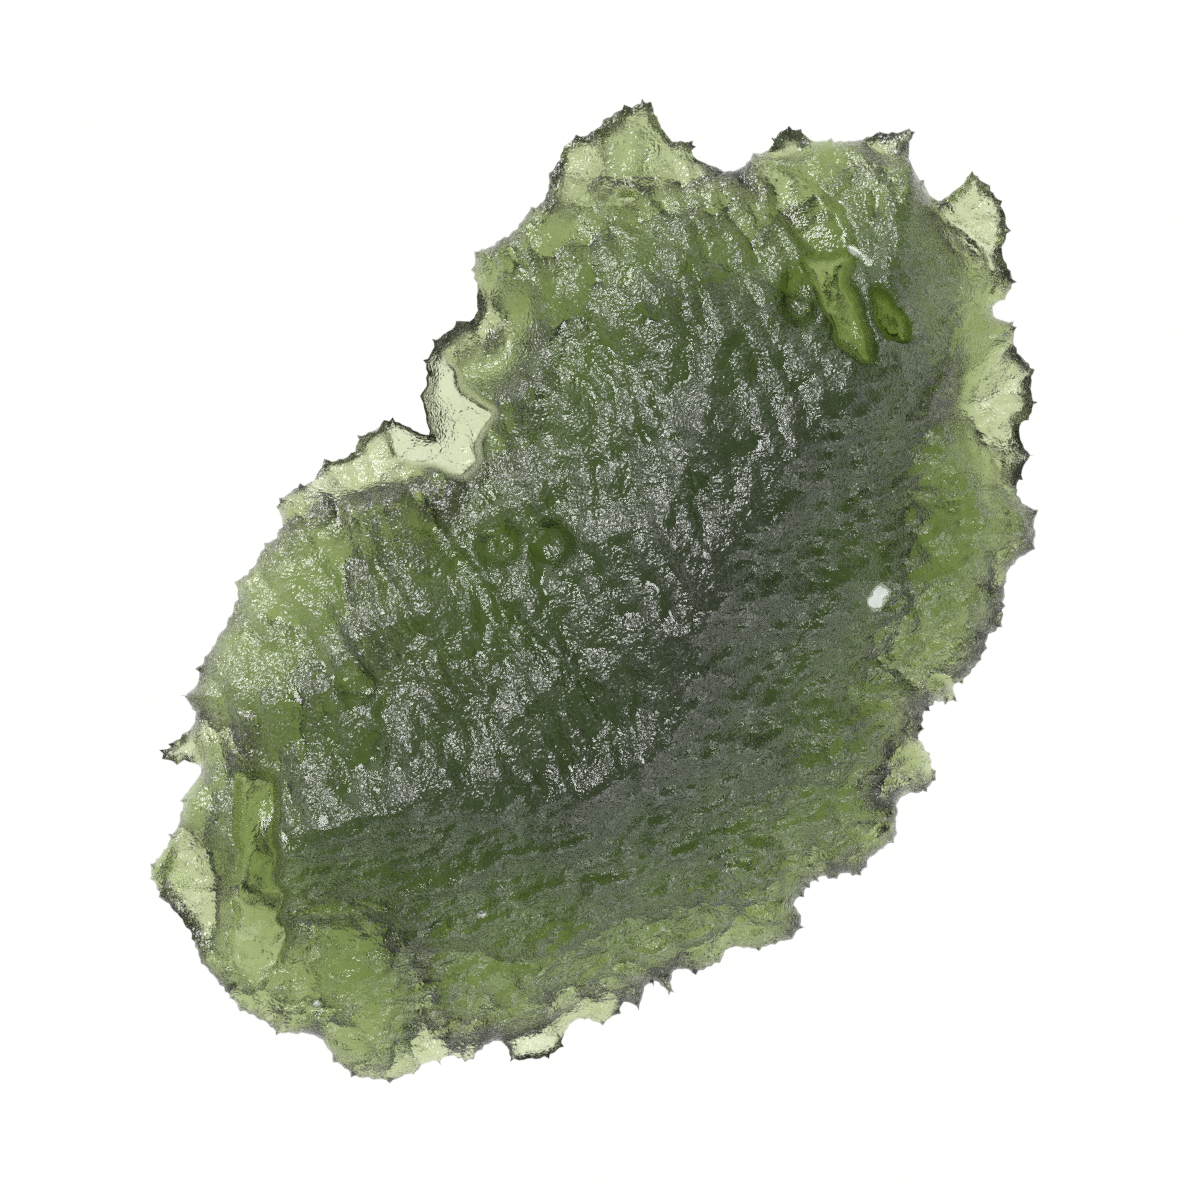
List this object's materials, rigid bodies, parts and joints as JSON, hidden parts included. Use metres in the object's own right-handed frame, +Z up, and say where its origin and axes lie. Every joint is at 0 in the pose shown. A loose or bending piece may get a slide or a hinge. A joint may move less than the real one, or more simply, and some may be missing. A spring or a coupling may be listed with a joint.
{
  "type": "moldavite",
  "caption": "Natural green glass stone with an etched, pitted surface and a jagged rim, lying on a small flat spot.",
  "frame": {"origin": "bottom centre of the stone's bounding box, on the surface that it lies on", "axes": "+Z up, away from that surface, and +Y towards the top of the picture, which looks straight down"},
  "size_m": [0.0296, 0.0328, 0.0105],
  "materials": {
    "moldavite_glass": "etched, translucent"
  },
  "bodies": {
    "root": {"moldavite": "moldavite_glass"}
  },
  "joints": []
}
